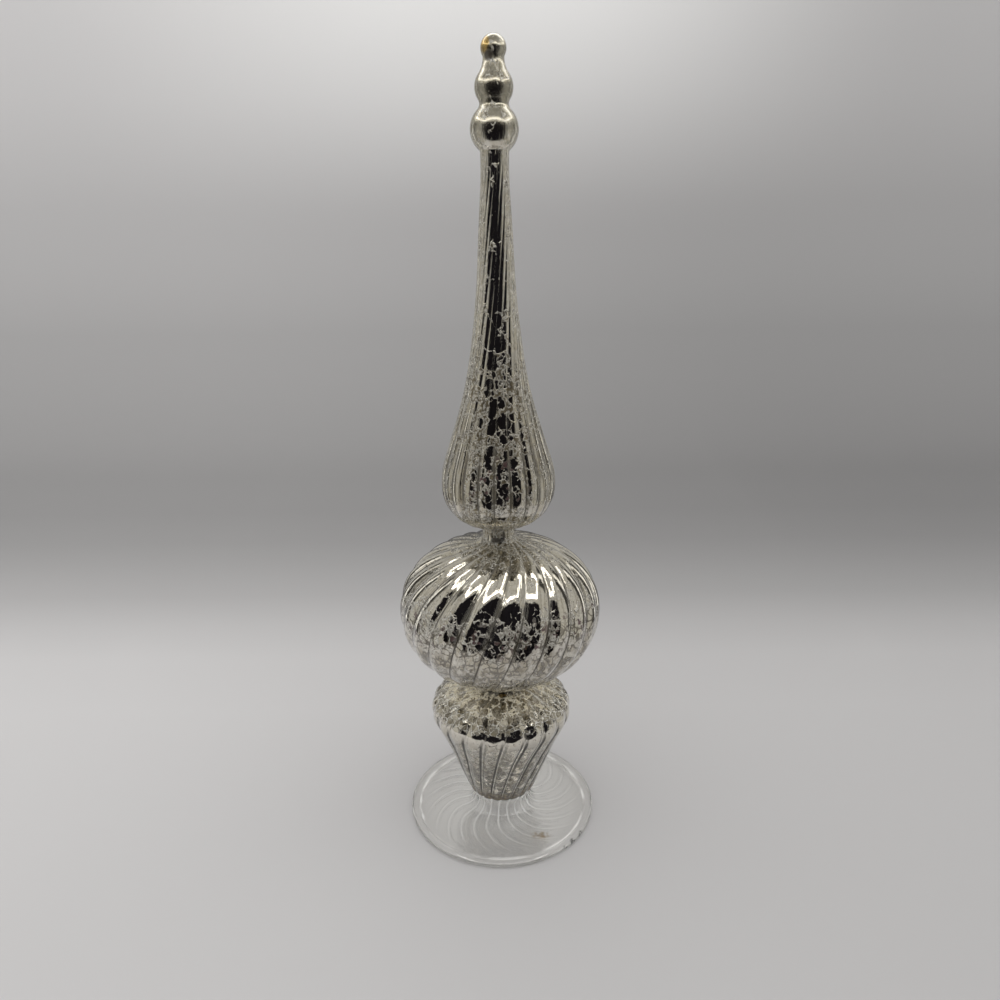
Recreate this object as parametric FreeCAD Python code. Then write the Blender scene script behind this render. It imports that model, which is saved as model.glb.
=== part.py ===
"""Blown glass tree topper: a finial of one hollow glass wall on a clear spread foot.

From the table up: a flat foot with a fire-polished bead at its rim, a narrow neck, an urn,
a waist, a globe, a waist, a teardrop drawn out to a long stem, and three balls at the tip.
Optic ribs run over the outside from the foot to the top of the stem and twist as they climb.
The wall is open underneath, so the tip of a tree goes up through the neck into the urn.

Millimetres and degrees. +Z is up, and the origin is the centre of the foot's underside.
"""
import FreeCAD, Part
import math
import os

# Wall and ribs
wall = 2.2              # thickness of the blown wall at the crest of a rib
rib_count = 22          # ribs all round
rib_height = 1.4        # crease to crest at the globe's widest place
rib_power = 1.1         # how the ribs get lower with the radius, 1 is in proportion
rib_foot_share = 0.35   # how much of that height is left on the disc of the foot
rib_run_out = 7.0       # length over which they fade at the foot's rim and at the stem's top

# Lean of the ribs off the meridian as they climb, to the right in front
first_turn = 6.5        # where the first rib starts at the rim
foot_lean = -57.0       # at the rim, and none at the neck
urn_lean = 10.5
globe_lean = 18.0
stem_lean = 5.8

# Foot
foot_radius = 44.5
bead_width = 4.5        # fire-polished rim, along the radius
bead_height = 2.65
disc_top = 2.25         # height of the disc's top beside the bead
disc_thickness = 1.8
neck_radius = 13.6
neck_height = 7.5       # narrowest place, above the table
flare_radius = 3.9      # hollow curve between disc and neck
land_width = 2.0        # flat ring under the bead that the foot stands on
bore_length = 4.5       # straight stretch inside the neck, from its narrowest place up
bore_ease = 5.0         # height over which the bore opens into the urn

# Urn
urn_radius = 32.7
urn_side_height = 48.5  # narrowest place of the neck to the widest place of the urn
urn_dome_height = 12.9  # widest place to the waist
urn_dome_power = 2.35   # 2 is an ellipse, more is squarer
urn_side = [            # share of the height, share of the widening
    (0.07, 0.065), (0.25, 0.25), (0.45, 0.445), (0.65, 0.635), (0.78, 0.785), (0.88, 0.905), (0.95, 0.98),
]

# Waists
low_waist_radius = 7.0
low_waist_length = 4.4
high_waist_radius = 7.3
high_waist_length = 7.7
high_waist_under = 2.6  # hollow curve from the globe into the waist
high_waist_over = 1.2   # hollow curve from the waist to the teardrop

# Globe
globe_radius = 44.8
globe_height = 66.8
globe_power = 2.12
globe_fullness = 0.03   # how much fuller it is above the middle than below

# Teardrop and stem
belly_radius = 24.3
belly_drop = 19.6       # widest place down to the waist
belly_depth = 20.4      # the same down to where the round bottom would close
belly_power = 2.35
stem_radius = 5.5
stem_height = 127.8     # widest place of the teardrop to the top of the stem
stem_taper = [          # share of the height, share of the widening that is left
    (0.05, 0.96), (0.10, 0.86), (0.20, 0.64), (0.30, 0.445), (0.40, 0.315),
    (0.52, 0.20), (0.66, 0.112), (0.82, 0.05), (0.94, 0.0),
]

# Tip, from the stem up. A link is its narrowest radius, the hollow curve under that place,
# the hollow curve over it and the ball that follows
collar_step = 0.06      # the smooth tip stands out this far from the ribbed stem
collar_length = 1.2
links = [
    (stem_radius + collar_step, 0.0, 0.8, 9.15),
    (5.5, 2.6, 2.6, 7.2),
    (3.95, 8.5, 1.5, 4.75),
]

# Heights, stacked from the table up
urn_z = neck_height + urn_side_height
low_waist_z = urn_z + urn_dome_height
globe_foot_z = low_waist_z + low_waist_length
globe_z = globe_foot_z + globe_height / 2
high_waist_z = globe_foot_z + globe_height
tear_foot_z = high_waist_z + high_waist_length
belly_z = tear_foot_z + belly_drop
stem_top_z = belly_z + stem_height

rim_r = foot_radius - bead_width            # where the disc meets the bead
bead_r = foot_radius - bead_width / 2       # middle of the bead
flare_r = neck_radius + flare_radius        # where the disc meets the flare
flare_z = neck_height - flare_radius
bore_radius = neck_radius - wall
overrun = 2.0           # how far a solid is carried past the place where it is cut or joined


def vec(r, z):
    return FreeCAD.Vector(r, 0, z)


def arc(centre_r, centre_z, radius, start, end):
    """Arc in the XZ plane from one angle to another, counted from +X towards +Z."""
    points = []
    for degrees in (start, (start + end) / 2, end):
        a = math.radians(degrees)
        points.append(vec(centre_r + radius * math.cos(a), centre_z + radius * math.sin(a)))
    return Part.Arc(*points).toShape()


def turned(edges):
    """Solid of revolution from edges that start and end on the axis or on one plane."""
    face = Part.Face(Part.Wire(edges))
    return face.revolve(FreeCAD.Vector(), FreeCAD.Vector(0, 0, 1), 360)


def waist(radius, low, length, under, over):
    """Narrow neck between two forms, with a hollow curve into each, from the lower one up."""
    points = []
    for degrees in (-70, -35, 0):
        a = math.radians(degrees)
        points.append((radius + under - under * math.cos(a), low + under + under * math.sin(a)))
    for degrees in (0, 35, 70):
        a = math.radians(degrees)
        z = low + length - over + over * math.sin(a)
        if z > points[-1][1] + 0.1:
            points.append((radius + over - over * math.cos(a), z))
    return points


def dome(radius, widest, height, power, stop, steps, fullness=0.0):
    """Superellipse from its widest place to where it meets a waist, height below 0 hangs down."""
    points = []
    for i in range(steps + 1):
        angle = math.radians(90) * i / (steps + 1)
        up = math.sin(angle) ** (2 / power)
        r = radius * math.cos(angle) ** (2 / power) * (1 + math.copysign(fullness * up, height))
        if r > stop:
            points.append((r, widest + height * up))
    return points


def outline():
    """Crest line of the ribbed wall, from inside the foot's bead up to the top of the stem."""
    points = [(bead_r, disc_top / 2), (bead_r - bead_width / 6, disc_top * 0.9)]
    for share in (0.0, 0.3, 0.6, 0.85):
        r = rim_r + (flare_r - rim_r) * share
        points.append((r, disc_top + (flare_z - disc_top) * share))
    for degrees in (-75, -45, -20, 0):
        a = math.radians(degrees)
        points.append((flare_r - flare_radius * math.cos(a), neck_height + flare_radius * math.sin(a)))

    for up, out in urn_side:
        points.append((neck_radius + (urn_radius - neck_radius) * out, neck_height + urn_side_height * up))
    low_stop = low_waist_radius + low_waist_length / 2
    points += dome(urn_radius, urn_z, urn_dome_height, urn_dome_power, low_stop, 9)
    points += waist(low_waist_radius, low_waist_z, low_waist_length, low_waist_length / 2, low_waist_length / 2)

    half = globe_height / 2
    high_stop = high_waist_radius + high_waist_under
    points += dome(globe_radius, globe_z, -half, globe_power, low_stop, 13, globe_fullness)[:0:-1]
    points += dome(globe_radius, globe_z, half, globe_power, high_stop, 13, globe_fullness)
    points += waist(high_waist_radius, high_waist_z, high_waist_length, high_waist_under, high_waist_over)

    points += dome(belly_radius, belly_z, -belly_depth, belly_power, high_waist_radius + high_waist_over, 9)[::-1]
    for up, left in stem_taper:
        points.append((stem_radius + (belly_radius - stem_radius) * left, belly_z + stem_height * up))
    points.append((stem_radius, stem_top_z + collar_length))
    return points


def spline(points):
    curve = Part.BSplineCurve()
    curve.interpolate([vec(r, z) for r, z in points])
    return curve


def outward(curve, parameter):
    """Direction off the wall at a place on the crest line, which runs upwards."""
    along = curve.tangent(parameter)[0]
    return FreeCAD.Vector(along.z, 0, -along.x)


def smooth_step(x):
    x = min(max(x, 0.0), 1.0)
    return x * x * (3 - 2 * x)


def lean_at(r, z):
    """Tangent of the ribs' lean at a place on the wall."""
    if z < neck_height:
        return math.tan(math.radians(foot_lean)) * smooth_step((r - neck_radius) / (rim_r - neck_radius))
    if z < low_waist_z:
        return math.tan(math.radians(urn_lean))
    if z < high_waist_z:
        return math.tan(math.radians(globe_lean))
    return math.tan(math.radians(stem_lean)) * smooth_step((z - belly_z) / (2 * belly_radius))


def rib_depth(r, z, from_rim):
    """How far the creases lie under the crests, none in the bead and at the top of the stem."""
    fade = smooth_step(from_rim / rib_run_out) * smooth_step((stem_top_z - z) / rib_run_out)
    fade *= rib_foot_share + (1 - rib_foot_share) * smooth_step((z - disc_top) / neck_height)
    return fade * rib_height * (r / globe_radius) ** rib_power


def rib_rows():
    """Left crease, crest and right crease of one rib, row by row up the crest line."""
    points = outline()
    crest = spline(points)
    half_pitch = 180 / rib_count
    turn = first_turn
    from_rim = -bead_width / 2
    rows = []
    for i, (r, z) in enumerate(points):
        if i:
            below_r, below_z = points[i - 1]
            step = math.hypot(r - below_r, z - below_z)
            middle_r = (r + below_r) / 2
            turn += math.degrees(lean_at(middle_r, (z + below_z) / 2) * step / middle_r)
            from_rim += step
        crest_point = vec(r, z)
        crease = crest_point - outward(crest, crest.parameter(crest_point)) * rib_depth(r, z, from_rim)
        row = []
        for place, offset in ((crease, -half_pitch), (crest_point, 0), (crease, half_pitch)):
            row.append(FreeCAD.Rotation(FreeCAD.Vector(0, 0, 1), turn + offset).multVec(place))
        rows.append(row)
    return rows


def rib_surface():
    """One rib as a surface: parabolas from crease to crease, carried along the crest line."""
    rows = rib_rows()
    left = Part.BSplineCurve()
    left.interpolate([row[0] for row in rows])
    knots = left.getKnots()
    columns = []
    for column in range(3):
        places = []
        for row in rows:
            bulge = row[1] * 2 - (row[0] + row[2]) * 0.5
            places.append(bulge if column == 1 else row[column])
        curve = Part.BSplineCurve()
        curve.interpolate(Points=places, Parameters=knots)
        columns.append(curve.getPoles())
    poles = [list(pole) for pole in zip(*columns)]
    surface = Part.BSplineSurface()
    surface.buildFromPolesMultsKnots(
        poles, left.getMultiplicities(), [3, 3], knots, [0, 1], False, False, 3, 2)
    return surface, knots


def ribbed_body():
    """Solid glass from inside the bead to inside the tip, with a patch for each rib and form."""
    surface, knots = rib_surface()
    heights = [z for r, z in outline()]
    splits = [knots[0]]
    for limit in (neck_height, low_waist_z, high_waist_z, belly_z):
        splits.append(knots[min(i for i, z in enumerate(heights) if z >= limit)])
    splits.append(knots[-1])
    faces = []
    feet = []
    tops = []
    for i in range(rib_count):
        for low, high in zip(splits, splits[1:]):
            patch = surface.toShape(low, high, 0, 1)
            patch.rotate(FreeCAD.Vector(), FreeCAD.Vector(0, 0, 1), 360 / rib_count * i)
            faces.append(patch)
        for knot, ends in ((knots[0], feet), (knots[-1], tops)):
            end = surface.uIso(knot).toShape()
            end.rotate(FreeCAD.Vector(), FreeCAD.Vector(0, 0, 1), 360 / rib_count * i)
            ends.append(end)
    faces.append(Part.Face(Part.Wire(feet)))
    faces.append(Part.Face(Part.Wire(tops)))
    shell = Part.makeShell(faces)
    shell.sewShape()
    return Part.makeSolid(shell)


def foot_base():
    """Lower part of the disc with the fire-polished bead round it, flat where it stands."""
    half_width = bead_width / 2
    cut = math.acos(land_width / bead_width)      # angle on the ellipse where the table cuts it
    half_height = bead_height / (1 + math.sin(cut))
    middle = bead_height - half_height
    round_bead = Part.Ellipse(vec(bead_r, middle), half_width, half_height)
    upright = FreeCAD.Rotation(FreeCAD.Vector(1, 0, 0), 90)
    round_bead.rotate(FreeCAD.Placement(vec(bead_r, middle), upright))
    return turned([
        Part.makeLine(vec(0, 0), vec(bead_r + land_width / 2, 0)),
        Part.ArcOfEllipse(round_bead, -cut, math.pi).toShape(),
        Part.makeLine(vec(rim_r, middle), vec(0, middle)),
        Part.makeLine(vec(0, middle), vec(0, 0)),
    ])


def tip_edges(inset):
    """Smooth line of the three balls from the collar to the pole, moved inwards by inset."""
    edges = []
    z = stem_top_z + collar_length
    ball_z = ball_r = start = None
    for narrow, under, over, next_ball in links:
        if ball_r:
            # The hollow curve under the narrow place touches the ball below it
            hollow_r = narrow + under
            rise = math.sqrt((ball_r + under) ** 2 - hollow_r ** 2)
            touch = math.degrees(math.atan2(rise, hollow_r))
            z = ball_z + rise
            edges.append(arc(0, ball_z, ball_r - inset, start, touch))
            edges.append(arc(hollow_r, z, under + inset, touch + 180, 180))
        hollow_r = narrow + over
        rise = math.sqrt((next_ball + over) ** 2 - hollow_r ** 2)
        start = -math.degrees(math.atan2(rise, hollow_r))
        edges.append(arc(hollow_r, z, over + inset, 180, 180 + start))
        ball_r = next_ball
        ball_z = z + rise
    edges.append(arc(0, ball_z, ball_r - inset, start, 90))
    return edges


def tip():
    """Solid balls on their collar, seated on the stem."""
    collar_r = links[0][0]
    top = stem_top_z + collar_length
    edges = [
        Part.makeLine(vec(0, stem_top_z), vec(collar_r, stem_top_z)),
        Part.makeLine(vec(collar_r, stem_top_z), vec(collar_r, top)),
    ]
    edges += tip_edges(0)
    edges.append(Part.makeLine(edges[-1].Vertexes[-1].Point, vec(0, stem_top_z)))
    return turned(edges)


def inner_wall():
    """Inside of the wall from the bore up to the collar, split at the waists."""
    crest = spline(outline())
    bore_top = neck_height + bore_length
    points = [(bore_radius, bore_top)]
    splits = []
    for r, z in outline():
        inside = vec(r, z) - outward(crest, crest.parameter(vec(r, z))) * wall
        if bore_top + bore_ease < inside.z < stem_top_z:
            points.append((inside.x, inside.z))
            if r in (low_waist_radius, high_waist_radius, belly_radius):
                splits.append(inside)
    points.append((links[0][0] - wall, stem_top_z + collar_length))
    curve = spline(points)
    ends = [curve.FirstParameter] + [curve.parameter(p) for p in splits] + [curve.LastParameter]
    return [curve.toShape(low, high) for low, high in zip(ends, ends[1:])]


def hollow():
    """Air inside the wall, from under the table up to the last ball."""
    land_r = bead_r - land_width / 2
    bore_top = neck_height + bore_length
    edges = [
        Part.makeLine(vec(0, -overrun), vec(land_r, -overrun)),
        Part.makeLine(vec(land_r, -overrun), vec(land_r, 0)),
        Part.makeLine(vec(land_r, 0), vec(rim_r, disc_top - disc_thickness)),
        Part.makeLine(vec(rim_r, disc_top - disc_thickness), vec(flare_r, flare_z - wall)),
        arc(flare_r, neck_height, flare_radius + wall, 270, 180),
        Part.makeLine(vec(bore_radius, neck_height), vec(bore_radius, bore_top)),
    ]
    edges += inner_wall() + tip_edges(wall)
    edges.append(Part.makeLine(edges[-1].Vertexes[-1].Point, vec(0, -overrun)))
    return turned(edges)


def glass_topper():
    return ribbed_body().fuse([foot_base(), tip()]).cut(hollow())


os.makedirs("parts", exist_ok=True)
topper = glass_topper()
topper.exportStep("parts/glass_topper.step")
print("glass_topper:", len(topper.Solids), "solid,", round(topper.BoundBox.ZLength, 1), "mm high")
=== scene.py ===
import bpy, bmesh, math
import numpy as np
from mathutils import Matrix, Vector, noise


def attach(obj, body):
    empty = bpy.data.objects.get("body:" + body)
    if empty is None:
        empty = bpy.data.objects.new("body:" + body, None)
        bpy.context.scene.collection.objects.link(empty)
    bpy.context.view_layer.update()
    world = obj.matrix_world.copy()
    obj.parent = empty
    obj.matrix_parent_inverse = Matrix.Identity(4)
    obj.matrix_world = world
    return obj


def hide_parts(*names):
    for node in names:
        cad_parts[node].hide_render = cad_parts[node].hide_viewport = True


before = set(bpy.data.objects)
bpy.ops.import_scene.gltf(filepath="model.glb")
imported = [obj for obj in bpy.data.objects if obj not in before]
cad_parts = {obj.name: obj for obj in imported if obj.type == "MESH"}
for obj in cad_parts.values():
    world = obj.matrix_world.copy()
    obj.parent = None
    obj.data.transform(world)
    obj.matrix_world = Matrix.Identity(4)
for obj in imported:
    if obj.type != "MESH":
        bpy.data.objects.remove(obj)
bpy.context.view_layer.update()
mm = 0.001
deg = math.pi / 180

# The outline repeats the glass maker's own sizes, in millimetres
foot = {
    "radius": 44.5, "beadWidth": 4.5, "beadHeight": 2.65, "landWidth": 2.0,
    "discTop": 2.25, "discThickness": 1.8, "neckRadius": 13.6, "neckHeight": 7.5,
    "flareRadius": 3.9, "boreLength": 4.5, "boreEase": 5.0,
    "beadSteps": 21, "beadEnd": 137,  # degrees round the bead to where the disc's top leaves it
}
urn = {
    "radius": 32.7, "sideHeight": 48.5, "domeHeight": 12.9, "power": 2.35,
    "side": [(0.07, 0.065), (0.25, 0.25), (0.45, 0.445), (0.65, 0.635), (0.78, 0.785), (0.88, 0.905),
             (0.95, 0.98)],  # share of the height, share of the widening
}
lowWaist = {"radius": 7.0, "length": 4.4, "under": 2.2, "over": 2.2}
globe = {"radius": 44.8, "height": 66.8, "power": 2.12, "fullness": 0.03}
highWaist = {"radius": 7.3, "length": 7.7, "under": 2.6, "over": 1.2}
drop = {
    "radius": 24.3, "below": 19.6, "depth": 20.4, "power": 2.35, "stemRadius": 5.5, "stemHeight": 127.8,
    "taper": [(0.05, 0.96), (0.10, 0.86), (0.20, 0.64), (0.30, 0.445), (0.40, 0.315),
              (0.52, 0.20), (0.66, 0.112), (0.82, 0.05), (0.94, 0.0)],
}
tip = {  # each link is its narrow place, the hollow under it, the hollow over it and the next ball
    "collar": 1.2,
    "links": [(5.56, 0.0, 0.8, 9.15), (5.5, 2.6, 2.6, 7.2), (3.95, 8.5, 1.5, 4.75)],
}
ribs = {
    "count": 22, "columns": 8, "height": 1.4, "power": 1.1, "footShare": 0.35, "runOut": 7.0,
    "firstTurn": 6.5, "lean": {"foot": -57.0, "urn": 10.5, "globe": 18.0, "stem": 5.8},
}
wall = {
    "thickness": 2.2, "rowStep": 2.0, "rowTurn": 9.0, "innerStep": 4.0, "innerTurn": 22.0,
    "flareStep": 1.5, "flareTurn": 9, "finestStep": 0.05,
}
# Where the silvering ends on the neck
silvering = {"edge": 12.4, "ragged": 0.9, "settle": 6.0, "sag": 1.1, "rowGap": 1.3}

urnZ = foot["neckHeight"] + urn["sideHeight"]
lowWaistZ = urnZ + urn["domeHeight"]
globeFootZ = lowWaistZ + lowWaist["length"]
globeZ = globeFootZ + globe["height"] / 2
highWaistZ = globeFootZ + globe["height"]
bellyZ = highWaistZ + highWaist["length"] + drop["below"]
stemTopZ = bellyZ + drop["stemHeight"]
rimR = foot["radius"] - foot["beadWidth"]
beadR = foot["radius"] - foot["beadWidth"] / 2
flareR = foot["neckRadius"] + foot["flareRadius"]


def smoothStep(x):
    x = min(max(x, 0.0), 1.0)
    return x * x * (3 - 2 * x)


def waistPoints(waist, low):
    points = []
    for hollow, middle, angles in ((waist["under"], low + waist["under"], (-70, -35, 0)),
                                   (waist["over"], low + waist["length"] - waist["over"], (0, 35, 70))):
        for a in angles:
            z = middle + hollow * math.sin(a * deg)
            if not points or z > points[-1][1] + 0.1:
                points.append((waist["radius"] + hollow - hollow * math.cos(a * deg), z))
    return points


def domePoints(radius, widest, height, power, stop, steps, fullness=0.0):
    points = []
    for i in range(steps + 1):
        angle = math.pi / 2 * i / (steps + 1)
        up = math.sin(angle) ** (2 / power)
        r = radius * math.cos(angle) ** (2 / power) * (1 + math.copysign(fullness * up, height))
        if r > stop:
            points.append((r, widest + height * up))
    return points


def crestPoints():
    flareZ = foot["neckHeight"] - foot["flareRadius"]
    points = []
    for share in (0.0, 0.3, 0.6, 0.85):
        points.append((rimR + (flareR - rimR) * share, foot["discTop"] + (flareZ - foot["discTop"]) * share))
    for a in (-75, -45, -20, 0):
        points.append((flareR - foot["flareRadius"] * math.cos(a * deg),
                       foot["neckHeight"] + foot["flareRadius"] * math.sin(a * deg)))
    for up, out in urn["side"]:
        points.append((foot["neckRadius"] + (urn["radius"] - foot["neckRadius"]) * out,
                       foot["neckHeight"] + urn["sideHeight"] * up))
    lowStop = lowWaist["radius"] + lowWaist["under"]
    highStop = highWaist["radius"] + highWaist["under"]
    points += domePoints(urn["radius"], urnZ, urn["domeHeight"], urn["power"], lowStop, 9)
    points += waistPoints(lowWaist, lowWaistZ)
    half, power, fullness = globe["height"] / 2, globe["power"], globe["fullness"]
    points += domePoints(globe["radius"], globeZ, -half, power, lowStop, 13, fullness)[:0:-1]
    points += domePoints(globe["radius"], globeZ, half, power, highStop, 13, fullness)
    points += waistPoints(highWaist, highWaistZ)
    points += domePoints(drop["radius"], bellyZ, -drop["depth"], drop["power"],
                         highWaist["radius"] + highWaist["over"], 9)[::-1]
    for up, left in drop["taper"]:
        points.append((drop["stemRadius"] + (drop["radius"] - drop["stemRadius"]) * left,
                       bellyZ + drop["stemHeight"] * up))
    points.append((drop["stemRadius"], stemTopZ + tip["collar"]))
    return points


def smoothLine(points, step, turn):
    # A cubic through the points, walked in steps that shorten where the line bends
    p = np.array(points)
    s = np.concatenate([[0], np.cumsum(np.linalg.norm(np.diff(p, axis=0), axis=1))])
    h = np.diff(s)
    n = len(s)
    a = np.zeros((n, n))
    b = np.zeros((n, 2))
    a[0, :2] = 1, -1
    a[-1, -2:] = 1, -1
    for i in range(1, n - 1):
        a[i, i - 1:i + 2] = h[i - 1], 2 * (h[i - 1] + h[i]), h[i]
        b[i] = 6 * ((p[i + 1] - p[i]) / h[i] - (p[i] - p[i - 1]) / h[i - 1])
    m = np.linalg.solve(a, b)
    fine = np.linspace(0, s[-1], int(s[-1] / wall["finestStep"]))
    k = np.clip(np.searchsorted(s, fine) - 1, 0, n - 2)
    u, w, g = (fine - s[k])[:, None], (s[k + 1] - fine)[:, None], h[k][:, None]
    line = ((m[k] * w ** 3 + m[k + 1] * u ** 3) / (6 * g) + (p[k] / g - m[k] * g / 6) * w
            + (p[k + 1] / g - m[k + 1] * g / 6) * u)
    along = np.gradient(line, axis=0)
    heading = np.unwrap(np.arctan2(along[:, 1], along[:, 0]))
    length = np.concatenate([[0], np.cumsum(np.linalg.norm(np.diff(line, axis=0), axis=1))])
    bend = np.concatenate([[0], np.cumsum(np.abs(np.diff(heading)))])
    effort = length / step + bend / (turn * deg)
    rows = int(effort[-1]) + 1
    index = np.arange(len(fine))
    at = np.interp(np.linspace(0, effort[-1], rows + 1), effort, index)
    columns = (line[:, 0], line[:, 1], heading, length)
    return np.stack([np.interp(at, index, values) for values in columns], axis=1)


def arcRows(centreR, centreZ, radius, start, end, step, turn):
    # Rows of an arc: radius, height and heading, walked from one angle to the other
    span = abs(end - start)
    count = max(2, int(max(span / turn, span * deg * radius / step)) + 1)
    sense = 1 if end > start else -1
    rows = []
    for i in range(count + 1):
        angle = (start + (end - start) * i / count) * deg
        rows.append((centreR + radius * math.cos(angle), centreZ + radius * math.sin(angle),
                     angle + sense * math.pi / 2))
    return rows


def tipRows(inset, step, turn):
    # The three balls and the hollows between them, from the stem's collar up to the pole
    rows = []
    z = stemTopZ + tip["collar"]
    ballR = ballZ = start = None
    for narrow, under, over, nextBall in tip["links"]:
        if ballR:
            hollowR = narrow + under
            rise = math.sqrt((ballR + under) ** 2 - hollowR ** 2)
            touch = math.atan2(rise, hollowR) / deg
            z = ballZ + rise
            rows += arcRows(0, ballZ, ballR - inset, start, touch, step, turn)[1:]
            rows += arcRows(hollowR, z, under + inset, touch + 180, 180, step, turn)[1:]
        hollowR = narrow + over
        rise = math.sqrt((nextBall + over) ** 2 - hollowR ** 2)
        start = -math.atan2(rise, hollowR) / deg
        rows += arcRows(hollowR, z, over + inset, 180, 180 + start, step, turn)[1:]
        ballR, ballZ = nextBall, z + rise
    return rows + arcRows(0, ballZ, ballR - inset, start, 90, step, turn)[1:]


def leanAt(r, z):
    # Tangent of the ribs' lean off the meridian
    lean = ribs["lean"]
    if z < foot["neckHeight"]:
        outward = smoothStep((r - foot["neckRadius"]) / (rimR - foot["neckRadius"]))
        return math.tan(lean["foot"] * deg) * outward
    if z < lowWaistZ:
        return math.tan(lean["urn"] * deg)
    if z < highWaistZ:
        return math.tan(lean["globe"] * deg)
    return math.tan(lean["stem"] * deg) * smoothStep((z - bellyZ) / (2 * drop["radius"]))


def ribbedRows(rows):
    # Adds each row's turn and crease depth to its radius, height and heading
    full = []
    turn = ribs["firstTurn"] * deg
    for i, (r, z, heading, length) in enumerate(rows):
        if i:
            middleR, middleZ = (r + rows[i - 1][0]) / 2, (z + rows[i - 1][1]) / 2
            turn += leanAt(middleR, middleZ) * (length - rows[i - 1][3]) / middleR
        fade = smoothStep(length / ribs["runOut"]) * smoothStep((stemTopZ - z) / ribs["runOut"])
        climb = smoothStep((z - foot["discTop"]) / foot["neckHeight"])
        fade *= ribs["footShare"] + (1 - ribs["footShare"]) * climb
        full.append((r, z, heading, turn, fade * ribs["height"] * (r / globe["radius"]) ** ribs["power"]))
    return full


def wallRows():
    # The glass in section: from the outer pole down to the bead, under it and up to the inner pole
    crest = ribbedRows(smoothLine(crestPoints(), wall["rowStep"], wall["rowTurn"]))
    lastTurn = crest[-1][3]
    outer = crest + [(r, z, heading, lastTurn, 0.0)
                     for r, z, heading in tipRows(0.0, wall["rowStep"], wall["rowTurn"])]
    cut = math.acos(foot["landWidth"] / foot["beadWidth"])
    halfHeight = foot["beadHeight"] / (1 + math.sin(cut))
    beadRows = []
    for i in range(foot["beadSteps"] + 1):
        angle = -cut + (foot["beadEnd"] * deg + cut) * i / foot["beadSteps"]
        beadRows.append((beadR + foot["beadWidth"] / 2 * math.cos(angle),
                         foot["beadHeight"] - halfHeight + halfHeight * math.sin(angle), 0.0, 0.0, 0.0))
    thick = wall["thickness"]
    under = [(beadR - foot["landWidth"] / 2, 0.0), (rimR, foot["discTop"] - foot["discThickness"])]
    flareLow = foot["neckHeight"] - foot["flareRadius"] - thick
    rim = under[1]
    for share in (0.25, 0.5, 0.75):
        under.append((rim[0] + (flareR - rim[0]) * share, rim[1] + (flareLow - rim[1]) * share))
    flare = arcRows(flareR, foot["neckHeight"], foot["flareRadius"] + thick, 270, 180,
                    wall["flareStep"], wall["flareTurn"])
    under += [(r, z) for r, z, heading in flare]
    boreTop = foot["neckHeight"] + foot["boreLength"]
    inner = [(foot["neckRadius"] - thick, boreTop)]
    for r, z, heading, length in smoothLine(crestPoints(), wall["innerStep"], wall["innerTurn"]):
        r, z = r - thick * math.sin(heading), z + thick * math.cos(heading)
        if boreTop + foot["boreEase"] < z < stemTopZ:
            inner.append((r, z))
    inner += [(r, z) for r, z, heading in tipRows(thick, wall["innerStep"], wall["innerTurn"])]
    return outer[::-1] + beadRows[::-1], under + inner, len(outer)


def filmEdge(angle):
    # How far the silvering's ragged lower edge runs up or down at one place round the neck
    around = Vector((math.cos(angle), math.sin(angle), 0))
    rough = noise.noise(around * 3.0) + 0.6 * noise.noise(around * 6.0 + Vector((3, 1, 0)))
    return silvering["ragged"] * rough - silvering["sag"] * max(0.0, -around.x) ** 3


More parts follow.
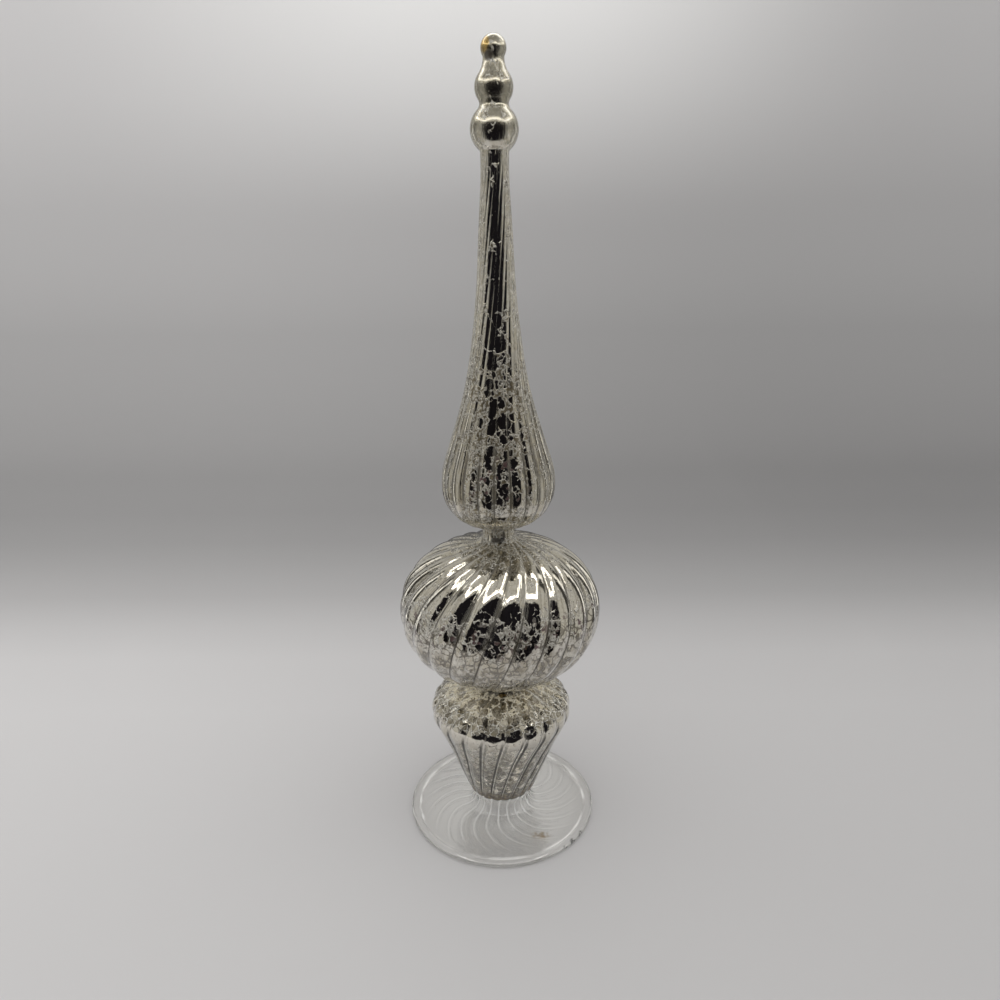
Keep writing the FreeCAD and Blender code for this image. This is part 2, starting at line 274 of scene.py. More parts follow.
def blowTopper():
    # One closed wall of glass, spun from its section, then ribbed and twisted row by row
    outer, inner, ribbed = wallRows()
    steps = ribs["count"] * ribs["columns"]
    section = bmesh.new()
    rowOf = section.verts.layers.int.new("row")
    creaseOf = section.verts.layers.float.new("crease")  # 0 on a rib's crest, 1 in the crease
    depthOf = section.verts.layers.float.new("depth")  # how deep the creases are here, 1 at the globe
    sideOf = section.verts.layers.float.new("side")  # which flank of its rib a point is on
    straightOf = section.verts.layers.float_vector.new("straight")  # place on a cylinder, untwisted
    chain = []
    for i, row in enumerate(outer + inner):
        vert = section.verts.new((max(row[0], 0.0) * mm, 0, row[1] * mm))
        vert[rowOf] = i
        chain.append(vert)
    for low, high in zip(chain, chain[1:]):
        section.edges.new((low, high))
    bmesh.ops.spin(section, geom=chain + section.edges[:], cent=(0, 0, 0), axis=(0, 0, 1), angle=2 * math.pi,
                   steps=steps, use_merge=True)
    bmesh.ops.remove_doubles(section, verts=section.verts, dist=0.002 * mm)
    table = np.array(outer)
    halfPitch = math.pi / ribs["count"]
    heights = table[:, 1]
    filmRow = max(i for i in range(ribbed) if heights[i] > silvering["edge"])
    for vert in section.verts:
        row = vert[rowOf]
        angle = math.atan2(vert.co.y, vert.co.x)
        vert[straightOf] = (globe["radius"] * math.cos(angle), globe["radius"] * math.sin(angle),
                            vert.co.z / mm)
        if row >= ribbed or vert.co.xy.length < 1e-6:
            continue
        column = round(angle / (2 * math.pi) * steps)
        rib, place = divmod(column, ribs["columns"])
        share = 2 * place / ribs["columns"] - 1
        near = 1 - smoothStep(abs(heights[row] - silvering["edge"]) / silvering["settle"])
        at = row - near * filmEdge(angle) / silvering["rowGap"]
        r, z, heading, turn, depth = [np.interp(at, np.arange(len(table)), table[:, k]) for k in range(5)]
        creaseR = r - depth * math.sin(heading)
        out = r - share ** 2 * (r - creaseR * math.cos(halfPitch))
        side = share * creaseR * math.sin(halfPitch)
        up = z + share ** 2 * depth * math.cos(heading)
        turned = (2 * rib + 1) * halfPitch + turn
        vert[creaseOf] = abs(share)
        vert[depthOf] = depth / ribs["height"]
        vert[sideOf] = math.sin(math.pi * share)
        vert.co = Vector((out * math.cos(turned) - side * math.sin(turned),
                          out * math.sin(turned) + side * math.cos(turned), up)) * mm
    bmesh.ops.recalc_face_normals(section, faces=section.faces)
    for face in section.faces:
        face.smooth = True
        face.material_index = 1 if all(v[rowOf] <= filmRow for v in face.verts) else 0
    mesh = bpy.data.meshes.new("glassTopper")
    section.to_mesh(mesh)
    section.free()
    topper = bpy.data.objects.new("glassTopper", mesh)
    bpy.context.collection.objects.link(topper)
    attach(topper, "root")
    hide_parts("glass_topper")
    print("topper: faces", len(mesh.polygons), "rows", len(outer), len(inner))
    return topper


class Wire:
    # A shader socket that takes part in Python sums
    def __init__(self, tree, socket):
        self.tree = tree
        self.socket = socket

    def node(self, kind, settings, values, output=0):
        made = self.tree.nodes.new(kind)
        for name, value in settings.items():
            if name == "stops":
                stops = made.color_ramp.elements
                while len(stops) < len(value):
                    stops.new(1.0)
                for stop, (position, colour) in zip(stops, value):
                    stop.position = position
                    stop.color = colour
            else:
                setattr(made, name, value)
        for name, value in values.items():
            if isinstance(value, Wire):
                self.tree.links.new(value.socket, made.inputs[name])
            else:
                made.inputs[name].default_value = value
        return Wire(self.tree, made.outputs[output])

    def other(self, output):
        return Wire(self.tree, self.socket.node.outputs[output])

    def maths(self, operation, *values):
        return self.node("ShaderNodeMath", {"operation": operation}, dict(enumerate(values)))

    def __add__(self, value):
        return self.maths("ADD", self, value)

    def __sub__(self, value):
        return self.maths("SUBTRACT", self, value)

    def __rsub__(self, value):
        return self.maths("SUBTRACT", value, self)

    def __mul__(self, value):
        return self.maths("MULTIPLY", self, value)

    def __truediv__(self, value):
        return self.maths("DIVIDE", self, value)

    def __neg__(self):
        return self.maths("MULTIPLY", self, -1.0)

    __radd__ = __add__
    __rmul__ = __mul__


def rise(value, low, high):
    # 0 below low, 1 above high, smooth between
    return value.node("ShaderNodeMapRange", {"interpolation_type": "SMOOTHSTEP"},
                      {"Value": value, "From Min": low, "From Max": high})


def between(value, low, high, soft):
    return rise(value, low - soft, low + soft) * (1 - rise(value, high - soft, high + soft))


def blend(share, first, second):
    return share.node("ShaderNodeMix", {"data_type": "RGBA"}, {0: share, 6: first, 7: second}, 2)


def ramp(value, stops):
    return value.node("ShaderNodeValToRGB", {"stops": stops}, {0: value}, "Color")


def attribute(place, name, output="Fac"):
    return place.node("ShaderNodeAttribute", {"attribute_name": name}, {}, output)


def voronoi(place, scale, output="Distance", feature="F1"):
    return place.node("ShaderNodeTexVoronoi", {"feature": feature},
                      {"Vector": place, "Scale": scale}, output)


def stretch(place, amounts):
    return place.node("ShaderNodeMapping", {}, {"Vector": place, "Scale": amounts})


def lengthOf(place):
    return place.node("ShaderNodeVectorMath", {"operation": "LENGTH"}, {0: place}, "Value")


def clouds(place, scale, detail=2.0, roughness=0.5, distortion=0.0, shift=None):
    if shift:
        place = place.node("ShaderNodeVectorMath", {"operation": "ADD"}, {0: place, 1: shift})
    return place.node("ShaderNodeTexNoise", {}, {
        "Vector": place, "Scale": scale, "Detail": detail, "Roughness": roughness,
        "Distortion": distortion}, "Fac")


def newMaterial(name):
    material = bpy.data.materials.new(name)
    material.use_nodes = True
    tree = material.node_tree
    tree.nodes.clear()
    start = tree.nodes.new("ShaderNodeTexCoord")
    place = Wire(tree, start.outputs["Object"])
    millimetres = place.node("ShaderNodeVectorMath", {"operation": "SCALE"}, {0: place, "Scale": 1 / mm})
    return material, millimetres


def finishMaterial(material, shader):
    tree = material.node_tree
    output = tree.nodes.new("ShaderNodeOutputMaterial")
    tree.links.new(shader.socket, output.inputs["Surface"])
    print(material.name, "nodes", len(tree.nodes))
    return material


def spot(place, centre, size):
    # 1 at a place on the glass, 0 from its edge outwards, size along each axis
    near = place.node("ShaderNodeMapping", {"vector_type": "TEXTURE"}, {
        "Vector": place, "Location": centre, "Scale": size})
    return 1 - rise(lengthOf(near), 0.55, 1.0)


def spots(place, marks):
    total = spot(place, *marks[0])
    for mark in marks[1:]:
        total = total + spot(place, *mark)
    return total


def mirroredRays(path):
    # Rays that come off a mirror, but not those that went through glass
    return path * (1 - path.other("Is Transmission Ray"))


# Clear glass: distances from the axis and heights in mm, colours, and marks as centre and size
clearFoot = {
    "ribsIn": (9, 13), "ribsOut": (30, 40), "brightTo": (15, 24), "reliefFrom": (15, 21),
    "matTo": (14.5, 18.5), "lip": (39.8, 40.7, 0.3), "edge": (43.3, 44.2), "edgeTop": (1.2, 2.4),
    "neckRoughness": 0.22, "coatIor": 1.8,
    "glass": (1.0, 0.992, 0.985, 1), "brown": (0.55, 0.40, 0.24, 1), "ribShade": (0.55, 0.55, 0.53, 1),
    "edgeShade": (0.36, 0.34, 0.31, 1), "black": (0.02, 0.02, 0.02, 1),
    "paintedGlow": (0.014, 0.014, 0.013, 1), "paintedGleam": (0.27, 0.27, 0.26, 1),
    "smear": ((17.9, -26.8, 3.0), (5.5, 2.6, 4.0)), "smearCore": ((18.2, -26.2, 3.0), (1.6, 0.9, 4.0)),
    "dirt": [((29.0, -33.8, 1.5), (1.6, 1.1, 2.5)), ((32.5, -30.3, 1.5), (2.0, 2.2, 2.5)),
             ((36.6, -25.6, 1.5), (1.5, 2.6, 2.5))],
}


def clearGlass():
    # Clear foot and neck with the ribs' pinwheel, a brown smear and a few dark chips of dirt at its rim;
    # painted highlights glow faintly along the creases and the lip, and painted shade lies beside the
    # creases and round the foot's lower edge
    material, place = newMaterial("clearGlass")
    look = clearFoot
    crease, side = attribute(place, "crease"), attribute(place, "side")
    height = place.node("ShaderNodeSeparateXYZ", {}, {0: place}, "Z")
    reach = place.node("ShaderNodeVectorMath", {"operation": "MULTIPLY"}, {0: place, 1: (1.0, 1.0, 0.0)})
    reach = lengthOf(reach)

    ragged = clouds(place, 0.5, 3.0, 0.6)
    smear = spot(place, *look["smear"]) * rise(ragged, 0.42, 0.60) + spot(place, *look["smearCore"]) * 0.8
    dirt = spots(place, look["dirt"]) * rise(clouds(place, 1.3, 2.0), 0.42, 0.50)
    uneven = rise(clouds(place, 0.07, 1.0, 0.5, 0.0, (4.0, 9.0, 2.0)), 0.18, 0.44)
    faint = rise(reach, *look["ribsIn"]) * (1 - rise(reach, *look["ribsOut"])) * uneven
    line = rise(crease + side * 0.05, 0.80, 1.0) * faint
    shade = between(crease, 0.50 + 0.10 * side, 0.76, 0.10) * faint
    broken = rise(clouds(place, 0.09, 1.0, 0.5, 0.0, (2.0, 3.0, 7.0)), 0.36, 0.60)
    lip = between(reach, *look["lip"]) * broken
    edge = rise(reach, *look["edge"]) * (1 - rise(height, *look["edgeTop"]))

    tone = blend(smear, look["glass"], look["brown"])
    # Painted shade: a faint band beside each crease, and a darker line round the bottom of the foot's outer
    # edge
    tone = blend(shade * 0.2, tone, look["ribShade"])
    tone = blend(edge * 0.5, tone, look["edgeShade"])
    tone = blend(dirt, tone, look["black"])
    # Painted highlights: a faint glow along the crease lines and in broken arcs at the lip, over a fainter
    # painted glow on all the clear glass
    bright = line * (0.5 + 0.5 * (1 - rise(reach, *look["brightTo"])))
    paintedGleam = blend(bright + lip * 0.6, look["paintedGlow"], look["paintedGleam"])
    rough = (1 - rise(reach, *look["matTo"])) * look["neckRoughness"]
    relief = clouds(place, 0.12, 1.0) * 0.05 + line * rise(reach, *look["reliefFrom"]) * 0.16
    bump = place.node("ShaderNodeBump", {}, {"Height": relief, "Distance": mm, "Strength": 1.0}, "Normal")
    shader = place.node("ShaderNodeBsdfPrincipled", {}, {
        "Base Color": tone, "Roughness": rough, "IOR": 1.5, "Transmission Weight": 1.0, "Normal": bump,
        "Coat Weight": 1.0, "Coat Roughness": 0.0, "Coat IOR": look["coatIor"],
        "Emission Color": paintedGleam, "Emission Strength": 1.0}, "BSDF")
    material.cycles.emission_sampling = "NONE"  # the painted gleam lights nothing else
    return finishMaterial(material, shader)


# How the silvering looks on its way up: height in mm, share of clean mirror, warmth, dullness, crackle
zones = [
    (8, 0.45, 0.95, 1.00, 0.30), (18, 0.90, 0.45, 1.00, 0.15), (32, 0.92, 0.30, 1.00, 0.15),
    (44, 0.72, 0.30, 0.80, 0.45), (52, 0.82, 0.35, 0.45, 0.25), (57, 0.94, 0.30, 0.05, 0.05),
    (58.9, 0.94, 0.30, 0.05, 0.10), (59.7, 0.48, 0.55, 0.10, 1.0), (66, 0.54, 0.70, 0.10, 1.0),
    (84, 0.74, 0.55, 0.25, 0.50), (104, 0.80, 0.50, 0.20, 0.25), (110, 0.60, 0.45, 0.10, 0.0),
    (119, 0.64, 0.40, 0.05, 0.0), (125, 0.94, 0.40, 0.05, 0.0), (134, 0.88, 0.45, 0.05, 0.1),
    (137.5, 0.52, 0.70, 0.05, 0.3), (143, 0.46, 0.85, 0.10, 0.6), (152, 0.40, 0.95, 0.20, 0.5),
    (158, 0.40, 0.80, 0.05, 0.2), (163, 0.60, 0.55, 0.15, 0.0), (184, 0.64, 0.45, 0.20, 0.0),
    (188, 0.44, 0.55, 0.25, 0.0), (208, 0.45, 0.60, 0.25, 0.0), (224, 0.66, 0.55, 0.25, 0.0),
    (242, 0.88, 0.40, 0.20, 0.0), (298, 0.92, 0.45, 0.20, 0.0), (304, 0.86, 0.60, 0.45, 0.1),
    (336, 0.82, 0.65, 0.50, 0.2),
]
zoneTop = 336
# Scales of the silvering's patterns, per mm
film = {
    "warp": 0.4, "drops": (0.21, 0.40, 0.85), "cells": 0.31, "facets": 0.45, "pits": 0.75,
    "grain": 0.9, "tint": 0.22, "patch": 0.30, "streak": 0.55, "wave": 0.45,
}
# The pale web between the drops, and a painted glow on the web of the urn's dome under the globe
webTints = {
    "grain": [(0.40, (0.035, 0.028, 0.018, 1)), (0.48, (0.105, 0.088, 0.060, 1)),
              (0.56, (0.23, 0.21, 0.16, 1)), (0.68, (0.52, 0.50, 0.43, 1))],
    "plates": [(0.15, (0.15, 0.125, 0.08, 1)), (0.5, (0.40, 0.36, 0.265, 1)),
               (0.85, (0.70, 0.655, 0.54, 1))],
    "warm": (0.32, 0.26, 0.135, 1), "streak": (0.085, 0.07, 0.05, 1), "globe": (0.66, 0.64, 0.58, 1),
    "stem": (0.13, 0.105, 0.065, 1), "lip": (0.74, 0.72, 0.66, 1), "dome": (0.92, 0.84, 0.64, 1),
    "unlit": (0.0, 0.0, 0.0, 1), "lit": (0.13, 0.118, 0.09, 1),
}
# The mirror inside the drops
metalTints = {
    "bright": (0.85, 0.815, 0.73, 1), "dull": (0.14, 0.13, 0.115, 1), "grain": (0.46, 0.42, 0.33, 1),
    "plate": (0.24, 0.20, 0.13, 1), "teardrop": (0.24, 0.21, 0.15, 1), "streak": (0.15, 0.125, 0.085, 1),
    "warm": (0.60, 0.52, 0.34, 1), "tarnish": (0.34, 0.315, 0.24, 1),
}
# What lies over both
markTints = {
    "bruise": (0.055, 0.010, 0.018, 1), "isle": (0.26, 0.225, 0.155, 1), "outline": (0.07, 0.052, 0.03, 1),
    "vein": (0.86, 0.85, 0.81, 1), "darkLine": (0.06, 0.05, 0.035, 1), "creaseShade": (0.022, 0.020, 0.016, 1),
    "paintedGlint": (0.80, 0.78, 0.72, 1), "pit": (0.025, 0.022, 0.018, 1), "rustDark": (0.035, 0.022, 0.009, 1),
    "rust": (0.20, 0.15, 0.08, 1), "ring": (0.008, 0.005, 0.003, 1), "amber": (0.42, 0.27, 0.05, 1),
    "scorch": (0.03, 0.022, 0.014, 1),
}
# Single marks as centre and size: amber at the urn's waist and the tip, black at the tip and the upper waist
filmMarks = {
    "amber": [((0.5, -12.0, 68.3), (2.2, 1.5, 1.5)), ((-3.4, -3.2, 331.8), (2.6, 3.6, 4.0))],
    "scorch": [((-1.8, -3.4, 327.8), (2.2, 2.6, 2.2)), ((2.0, -7.2, 144.6), (0.8, 2.4, 2.9))],
    "raggedScorch": ((0.2, -6.4, 143.9), (3.3, 2.6, 1.5)),
}


def dropEdge(place, scale, share):
    # How far a point lies outside the nearest round opening in the web, in mm; each opening has its own size
    reach = voronoi(place, scale)
    luck = reach.node("ShaderNodeSeparateColor", {}, {0: reach.other("Color")}, "Red")
    return (reach - share * (0.35 + 0.9 * luck)) / scale


def silveredGlass():
    # Silver film inside the wall: a mirror that has broken up into a pale web round dark drops
    material, place = newMaterial("silveredGlass")
    height = place.node("ShaderNodeSeparateXYZ", {}, {0: place}, "Z")
    aside = height.other("X")
    warp = place.node("ShaderNodeTexNoise", {},
                      {"Vector": place, "Scale": film["warp"], "Detail": 1.6}, "Color")
    warp = place.node("ShaderNodeVectorMath", {"operation": "MULTIPLY_ADD"},
                      {0: warp, 1: (2.2, 2.2, 2.6), 2: place})
    tall = stretch(warp, (1.0, 1.0, 0.75))
    strand = stretch(attribute(place, "straight", "Vector"), (1.0, 1.0, 0.10))
    crease, side = attribute(place, "crease"), attribute(place, "side")
    valley = rise(attribute(place, "depth"), 0.10, 0.24)

    # Heights of the parts that have a look of their own
    low = 1 - rise(height, 53, 59)
    belly = between(height, 158, 188, 6)
    body = between(height, 158, 215, 8)
    brown = between(height, 180, 232, 8)
    tarnish = rise(height, 298, 308)
    flank = rise(aside.maths("ABSOLUTE", aside + 0.5), 8, 18) * between(height, 160, 226, 8)

    zone = ramp(height / zoneTop, [(h / zoneTop, tuple(shares)) for h, *shares in zones])
    crackle = zone.other("Alpha")
    mirror = zone.node("ShaderNodeSeparateColor", {}, {0: zone}, "Red")
    warmth, dull = mirror.other("Green"), mirror.other("Blue")
    mirror = mirror + (clouds(place, 0.10, 3.0, 0.55) - 0.5) * 0.4 + aside * 0.0022 + flank * 0.28
    grain = clouds(place, film["grain"], 4.0, 0.65)
    tint = clouds(place, film["tint"], 2.0, 0.5, 0.6)
    patch = clouds(place, film["patch"], 3.0, 0.6, 0.0, (31.0, 7.0, 3.0))
    streak = clouds(strand, film["streak"], 3.0, 0.6)
    cells = voronoi(warp, film["cells"], "Distance", "DISTANCE_TO_EDGE")
    plates = voronoi(warp, film["cells"], "Color")
    plates = plates.node("ShaderNodeSeparateColor", {}, {0: plates}, "Red")

    # Drops of clear mirror in three sizes, closed again in banks along the creases
    gap = None
    for scale, share in zip(film["drops"], (1 - 0.35 * belly, 0.85 + 0.15 * belly, 0.65)):
        nextGap = dropEdge(tall, scale, mirror * share)
        gap = gap.maths("MINIMUM", gap, nextGap) if gap else nextGap
    banks = rise(crease, 0.66, 0.84) * rise(streak, 0.36, 0.52) * valley \
        * (belly * 0.8 + between(height, 84, 136, 6) * 0.3)
    clear = (1 - rise(gap, -0.12, 0.12)) * (1 - banks * 0.85)
    matt = 1 - clear
    lips = between(gap, 0.04, 0.30, 0.12)

    web = ramp(grain, webTints["grain"])
    web = blend(warmth * rise(tint, 0.36, 0.60) * 0.6, web, webTints["warm"])
    web = blend(rise(streak, 0.50, 0.62) * (0.5 - 0.35 * crackle), web, webTints["streak"])
    web = blend(between(height, 96, 126, 6) * 0.5, web, webTints["globe"])
    web = blend(brown * 0.5, web, webTints["stem"])
    web = blend(crackle * 0.75, web, ramp(plates, webTints["plates"]))
    pale = lips * rise(grain, 0.36, 0.50) * (0.80 - 0.15 * brown) * (1 - 0.6 * crackle)
    web = blend(pale, web, webTints["lip"])
    # The web on the urn's dome and the lower waist turns a pale beige: its own beige, lifted well above it
    # as painted light against the shade under the globe
    web = blend(between(height, 65.5, 72, 1.5) * 0.75, web, webTints["dome"])

    metal = blend(dull * rise(patch, 0.32, 0.50), metalTints["bright"], metalTints["dull"])
    metal = blend(rise(grain, 0.50, 0.64) * 0.45, metal, metalTints["grain"])
    plated = 0.8 - 0.6 * rise(height, 64, 68) * (1 - rise(height, 72, 76))  # less round the lower waist
    metal = blend(crackle * rise(plates, 0.45, 0.80) * plated, metal, metalTints["plate"])
    metal = blend(between(height, 158, 205, 8) * 0.25, metal, metalTints["teardrop"])
    # Streaks in the film, darker on the left and right flanks of the teardrop and lower stem as seen from
    # the front: the streaks are the film's own, the extra darkness on the flanks is painted shade
    streaked = rise(streak, 0.50, 0.58) * between(height, 80, 226, 6) * (0.25 + 0.45 * flank)
    metal = blend(streaked, metal, metalTints["streak"])
    metal = blend(warmth * rise(tint, 0.42, 0.60) * 0.45, metal, metalTints["warm"])
    metal = blend(tarnish * 0.68, metal, metalTints["tarnish"])
    tone = blend(matt, metal, web)

    # Dark red bruises in the mirror, brown isles with outlines under the globe, white veins in the crackle
    bruise = rise(clouds(place, 0.30, 2.0, 0.5, 0.0, (5.0, 70.0, 9.0)), 0.58, 0.64) * clear * (1 - flank) \
        * (between(height, 106, 120, 4) + between(height, 163, 184, 4))
    tone = blend(bruise * 0.9, tone, markTints["bruise"])
    isles = rise(patch, 0.49, 0.53) * between(height, 82, 103, 5)
    tone = blend(isles * 0.6, tone, markTints["isle"])
    edges = 1 - rise(cells, 0.03, 0.15)
    outline = edges * rise(tint * 0.5 + patch * 0.5, 0.43, 0.50) * between(height, 82, 116, 8)
    tone = blend(outline * 0.9, tone, markTints["outline"])
    vein = (1 - rise(cells, 0.015, 0.07)) * crackle * rise(patch, 0.36, 0.46)
    tone = blend(vein * 0.9, tone, markTints["vein"])

    # Painted lines along the creases: a thin line of painted shade in the crease, also under the globe, and
    # on the urn's side a dark band of painted shade with a painted highlight beside it
    line = rise(streak + grain * 0.3, 0.52, 0.62)
    darkLine = rise(crease, 0.90 - 0.08 * body, 0.98 - 0.03 * body) * (0.30 + 0.6 * line) * (1 - low) * valley \
        * (1 - crackle * 0.7)
    underGlobe = rise(crease, 0.93, 0.99) * between(height, 80, 112, 6) * 0.5
    darkLine = (darkLine + underGlobe) * (1 - 0.75 * between(height, 184, 232, 8))
    shadeLeftOfCrease = between(crease, 0.66, 0.94, 0.06) * rise(side, 0.05, 0.3) * (0.8 + 0.2 * line)
    shadeRightOfCrease = between(crease, 0.66, 0.90, 0.08) * rise(-side, 0.05, 0.3) \
        * (line * 0.5 + rise(aside, 2, 14))  # strongest on the right side of the urn
    creaseShade = low * (shadeLeftOfCrease + shadeRightOfCrease)
    paintedGlint = low * rise(crease - side * 0.05, 0.93, 1.0)
    tone = blend(darkLine, tone, markTints["darkLine"])
    tone = blend(creaseShade * 0.95, tone, markTints["creaseShade"])
    tone = blend(paintedGlint * 0.8, tone, markTints["paintedGlint"])
    pitted = rise(clouds(place, 0.3, 1.0, 0.5, 0.0, (9.0, 1.0, 60.0)), 0.48, 0.56)
    pits = (1 - rise(voronoi(warp, film["pits"]), 0.12, 0.20)) * pitted
    tone = blend(pits * 0.85, tone, markTints["pit"])

    # Rust-brown at the silvering's end, a dark ring at the lower waist, and the single marks
    wave = (clouds(place, film["wave"], 2.0) - 0.5) * 3.0
    rust = (1 - rise(height + wave, 15.0, 21.0)) * 0.9
    tone = blend(rust, tone, blend(rise(grain, 0.4, 0.6), markTints["rustDark"], markTints["rust"]))
    ring = between(height + wave * 0.03, 68.25, 71.4, 0.08)
    tone = blend(ring * 0.97, tone, markTints["ring"])
    tone = blend(spots(place, filmMarks["amber"]) * 0.85, tone, markTints["amber"])
    scorch = spots(place, filmMarks["scorch"]) + spot(warp, *filmMarks["raggedScorch"])
    tone = blend(scorch * 0.9, tone, markTints["scorch"])

    dark = (darkLine + creaseShade).maths("MAXIMUM", darkLine + creaseShade, rust)
    dark = dark.maths("MAXIMUM", dark, scorch)
    rough = 0.05 + 0.20 * matt + 0.18 * dull + 0.3 * dark + 0.2 * bruise + 0.10 * vein + 0.10 * tarnish
    metallic = 1 - 0.5 * matt - 0.4 * dark - 0.5 * bruise * clear
    # Painted light: the pale web on the urn's dome under the globe glows faintly, standing in for light that
    # the globe keeps off it
    paleness = web.node("ShaderNodeRGBToBW", {}, {0: web}, "Val")
    lit = matt * between(height, 63.5, 68.3, 1.2) * rise(paleness, 0.10, 0.60)
    inner = blend(lit, webTints["unlit"], webTints["lit"])
    relief = matt * (0.03 + voronoi(warp, film["facets"]) * 0.16 + grain * 0.10) \
        + (clouds(place, 0.5, 1.0) - 0.5) * 0.05 + streak * (0.08 - 0.06 * crackle)
    relief = relief + crackle * (patch * 0.4 + plates * 0.06)
    bump = place.node("ShaderNodeBump", {}, {"Height": relief, "Distance": mm, "Strength": 1.0}, "Normal")
    shader = place.node("ShaderNodeBsdfPrincipled", {}, {
        "Base Color": tone, "Roughness": rough, "Metallic": metallic, "Normal": bump,
        "Coat Weight": 1.0, "Coat Roughness": 0.0, "Coat IOR": 1.5,
        "Emission Color": inner, "Emission Strength": 1.0}, "BSDF")
    material.cycles.emission_sampling = "NONE"  # nor does the painted glow on the dome
    return finishMaterial(material, shader)


# The light box that the object stands in, in metres: a sweep behind, and cards that only reflections see
tent = {
    "floorFront": -0.20, "bend": 0.30, "bendSteps": 16, "wallAt": 0.85, "wallTop": 1.7, "halfWidth": 1.7,
    "apron": -1.7, "roof": 0.40, "boxWidth": 0.26, "boxFront": -0.17, "boxBack": 0.80,
}
# The ring of lamplight under the roof, in metres
lamp = {"middle": -0.036, "halfLength": 0.098, "halfWidth": 0.17, "rim": 0.026, "glow": (4.5, 4.4, 4.2, 1),
        "soft": 0.004, "holeSoft": 0.01}
# The reflected cards: a side card has a bright strip between two dark seams, as from, to and softness in mm
cards = {
    "tone": (0.46, 0.45, 0.42, 1), "darkLine": (0.05, 0.048, 0.045, 1), "strip": (1.2, 1.18, 1.12, 1),
    "frontSeam": (50, 128, 12), "backSeam": (200, 290, 15), "brightStrip": (136, 188, 10),
}
# The sweep's cloth. Shades, before, span, glowUp and rimShade are in metres up the cloth from under the
# object, the other lengths in mm
cloth = {
    "shades": [(-0.10, 0.66), (0.08, 0.70), (0.14, 0.675), (0.185, 0.60), (0.235, 0.495), (0.30, 0.42),
               (0.345, 0.38), (0.425, 0.355), (0.60, 0.365), (0.74, 0.385), (0.93, 0.425), (1.085, 0.525),
               (1.29, 0.66), (1.40, 0.70)],
    "before": 0.3, "span": 1.8, "sides": (-450, 450), "sideShade": 0.23,
    "glowMiddle": 30, "glowAcross": (60, 620), "glowUp": (1.1, 1.5),
    "underFoot": (42.5, 45), "underFootFade": (18, 40), "rimShade": (0.10, 0.30),
    "black": (0, 0, 0, 1), "white": (1, 1, 1, 1),
}
room = {"light": (1.0, 0.99, 0.97, 1), "mirrored": (0.010, 0.009, 0.011, 1)}  # dark where a mirror shows it


def sheetAlong(corners, along):
    # A strip of sheet: the line through the corners, drawn out along a vector
    sheet = bmesh.new()
    verts = [sheet.verts.new(corner) for corner in corners]
    edges = [sheet.edges.new(pair) for pair in zip(verts, verts[1:])]
    made = bmesh.ops.extrude_edge_only(sheet, edges=edges)["geom"]
    bmesh.ops.translate(sheet, verts=[v for v in made if isinstance(v, bmesh.types.BMVert)], vec=along)
    return sheet


def stagePiece(name, sheet, material):
    bmesh.ops.recalc_face_normals(sheet, faces=sheet.faces)
    for face in sheet.faces:
        face.smooth = True
    mesh = bpy.data.meshes.new(name)
    sheet.to_mesh(mesh)
    sheet.free()
    stage = bpy.data.objects.new(name, mesh)
    bpy.context.collection.objects.link(stage)
    mesh.materials.append(material)
    return stage


def stageSheet(name, halfWidth, points, material):
    sheet = sheetAlong([(-halfWidth, y, z) for y, z in points], (2 * halfWidth, 0, 0))
    return stagePiece(name, sheet, material)


def sweepCloth():
    # Paler near the lamps above and towards the front of the floor, as cloth is under a light box's roof
    material, place = newMaterial("sweepCloth")
    aside = place.node("ShaderNodeSeparateXYZ", {}, {0: place}, "X")
    along = (aside.other("Y") + aside.other("Z")) / 1000
    before, span = cloth["before"], cloth["span"]
    tone = ramp((along + before) / span,
                [((p + before) / span, (v, v * 0.99, v, 1)) for p, v in cloth["shades"]])
    tone = blend(rise(aside, *cloth["sides"]) * cloth["sideShade"], tone, cloth["black"])
    fromMiddle = aside.maths("ABSOLUTE", aside + cloth["glowMiddle"])
    glow = (1 - rise(fromMiddle, *cloth["glowAcross"])) * rise(along, *cloth["glowUp"])
    tone = blend(glow, tone, cloth["white"])
    near = lengthOf(place)
    share = (1 - rise(near, *cloth["underFoot"])) * (1 - 0.45 * rise(near, *cloth["underFootFade"]))
    tone = blend(share, tone, cloth["white"])  # painted light: the cloth under the glass foot is paler, to make up for the light the glass keeps from it
    path = place.node("ShaderNodeLightPath", {}, {}, "Is Glossy Ray")
    rims = mirroredRays(path) * rise(along, *cloth["rimShade"]) * 0.65
    tone = blend(rims, tone, cloth["black"])  # painted dark reflection: the cloth shows black in mirrors, for dark rims where glass is seen edge on
    shader = place.node("ShaderNodeBsdfPrincipled", {}, {
        "Base Color": tone, "Roughness": 0.9, "Specular IOR Level": 0.1}, "BSDF")
    return finishMaterial(material, shader)


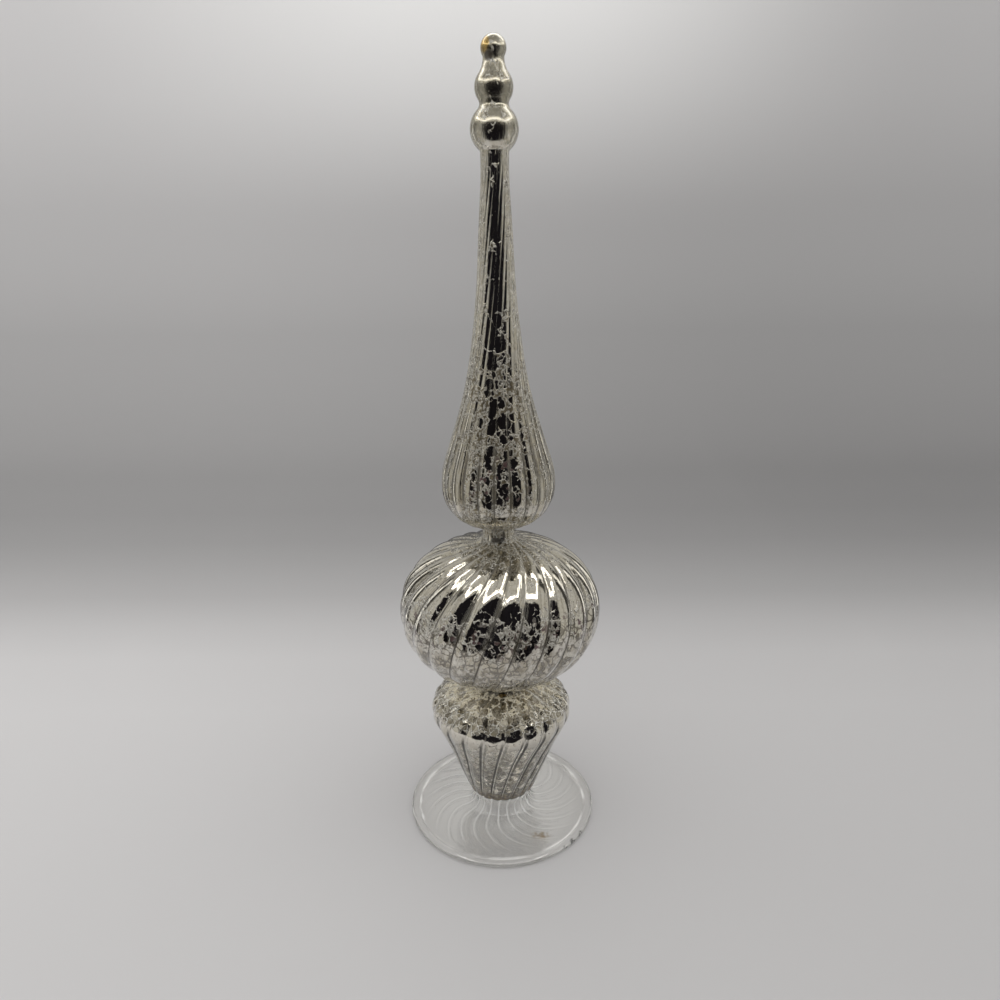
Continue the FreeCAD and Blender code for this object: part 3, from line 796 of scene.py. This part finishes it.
def glowCloth(name, isRoof):
    # A card that glows: the roof has a ring of lamplight, a side has its seams
    material, place = newMaterial(name)
    x = place.node("ShaderNodeSeparateXYZ", {}, {0: place}, "X")
    y = x.other("Y")
    if isRoof:
        width, length = lamp["halfWidth"], lamp["halfLength"]
        holeWidth, holeLength = width - lamp["rim"], length - lamp["rim"]
        across = x.maths("ABSOLUTE", x * mm)
        along = x.maths("ABSOLUTE", y * mm - lamp["middle"])
        soft, holeSoft = lamp["soft"], lamp["holeSoft"]
        inside = (1 - rise(across, width - soft, width)) * (1 - rise(along, length - soft, length))
        hole = (1 - rise(across, holeWidth - holeSoft, holeWidth)) \
            * (1 - rise(along, holeLength - holeSoft, holeLength))
        tone = blend(inside - hole, cards["tone"], lamp["glow"])
    else:
        seams = between(y, *cards["frontSeam"]) + between(y, *cards["backSeam"])
        tone = blend(seams, cards["tone"], cards["darkLine"])
        tone = blend(between(y, *cards["brightStrip"]), tone, cards["strip"])
    glow = place.node("ShaderNodeEmission", {}, {"Color": tone, "Strength": 1.0}, "Emission")
    through = place.node("ShaderNodeLightPath", {}, {}, "Is Transmission Ray")
    clearWay = place.node("ShaderNodeBsdfTransparent", {}, {}, "BSDF")
    shader = place.node("ShaderNodeMixShader", {}, {0: through, 1: glow, 2: clearWay}, "Shader")
    return finishMaterial(material, shader)


def pitchTent():
    sweep = sweepCloth()
    bend, bendAt = tent["bend"], tent["wallAt"] - tent["bend"]
    points = [(tent["floorFront"], 0), (bendAt, 0)]
    for i in range(1, tent["bendSteps"]):
        angle = math.pi / 2 * i / tent["bendSteps"]
        points.append((bendAt + bend * math.sin(angle), bend * (1 - math.cos(angle))))
    points += [(tent["wallAt"], bend), (tent["wallAt"], tent["wallTop"])]
    stageSheet("tentSweep", tent["halfWidth"], points, sweep)
    apron = stageSheet("tentApron", tent["halfWidth"], [(tent["apron"], 0), (tent["floorFront"], 0)], sweep)
    apron.visible_glossy = False
    front, back, roof, width = tent["boxFront"], tent["boxBack"], tent["roof"], tent["boxWidth"]
    shown = [stageSheet("tentRoof", width, [(front, roof), (back, roof)], glowCloth("roofCloth", True))]
    for name, x in (("tentLeft", -width), ("tentRight", width)):
        sheet = sheetAlong([(x, front, 0), (x, back, 0)], (0, 0, roof))
        shown.append(stagePiece(name, sheet, glowCloth(name + "Cloth", False)))
    for card in shown:
        card.visible_camera = card.visible_diffuse = card.visible_shadow = card.visible_transmission = False
    print("tent: cards", len(shown))


def lightTent():
    world = bpy.data.worlds.new("tentLight")
    bpy.context.scene.world = world
    world.use_nodes = True
    tree = world.node_tree
    tree.nodes.clear()
    start = tree.nodes.new("ShaderNodeLightPath")
    path = Wire(tree, start.outputs["Is Glossy Ray"])
    tone = blend(mirroredRays(path), room["light"], room["mirrored"])
    shader = path.node("ShaderNodeBackground", {}, {"Color": tone, "Strength": 1.0}, "Background")
    output = tree.nodes.new("ShaderNodeOutputWorld")
    tree.links.new(shader.socket, output.inputs["Surface"])


# Lens and sensor in mm, place in metres, angles in degrees
view = {
    "lens": 28.3, "sensor": 36, "back": 0.3208, "up": 0.2697, "aside": 0.0006, "pitch": 19.14, "roll": -0.63,
}


def placeCamera():
    camera = bpy.data.cameras.new("camera")
    camera.lens = view["lens"]
    camera.sensor_width = view["sensor"]
    holder = bpy.data.objects.new("camera", camera)
    bpy.context.collection.objects.link(holder)
    holder.matrix_world = (Matrix.Translation((view["aside"], -view["back"], view["up"]))
                           @ Matrix.Rotation((90 - view["pitch"]) * deg, 4, "X")
                           @ Matrix.Rotation(view["roll"] * deg, 4, "Z"))
    bpy.context.scene.camera = holder
    print("camera: lens", view["lens"])


placeCamera()
topper = blowTopper()
for finish in (clearGlass(), silveredGlass()):
    topper.data.materials.append(finish)
pitchTent()
lightTent()
bpy.context.scene.view_settings.view_transform = "Standard"
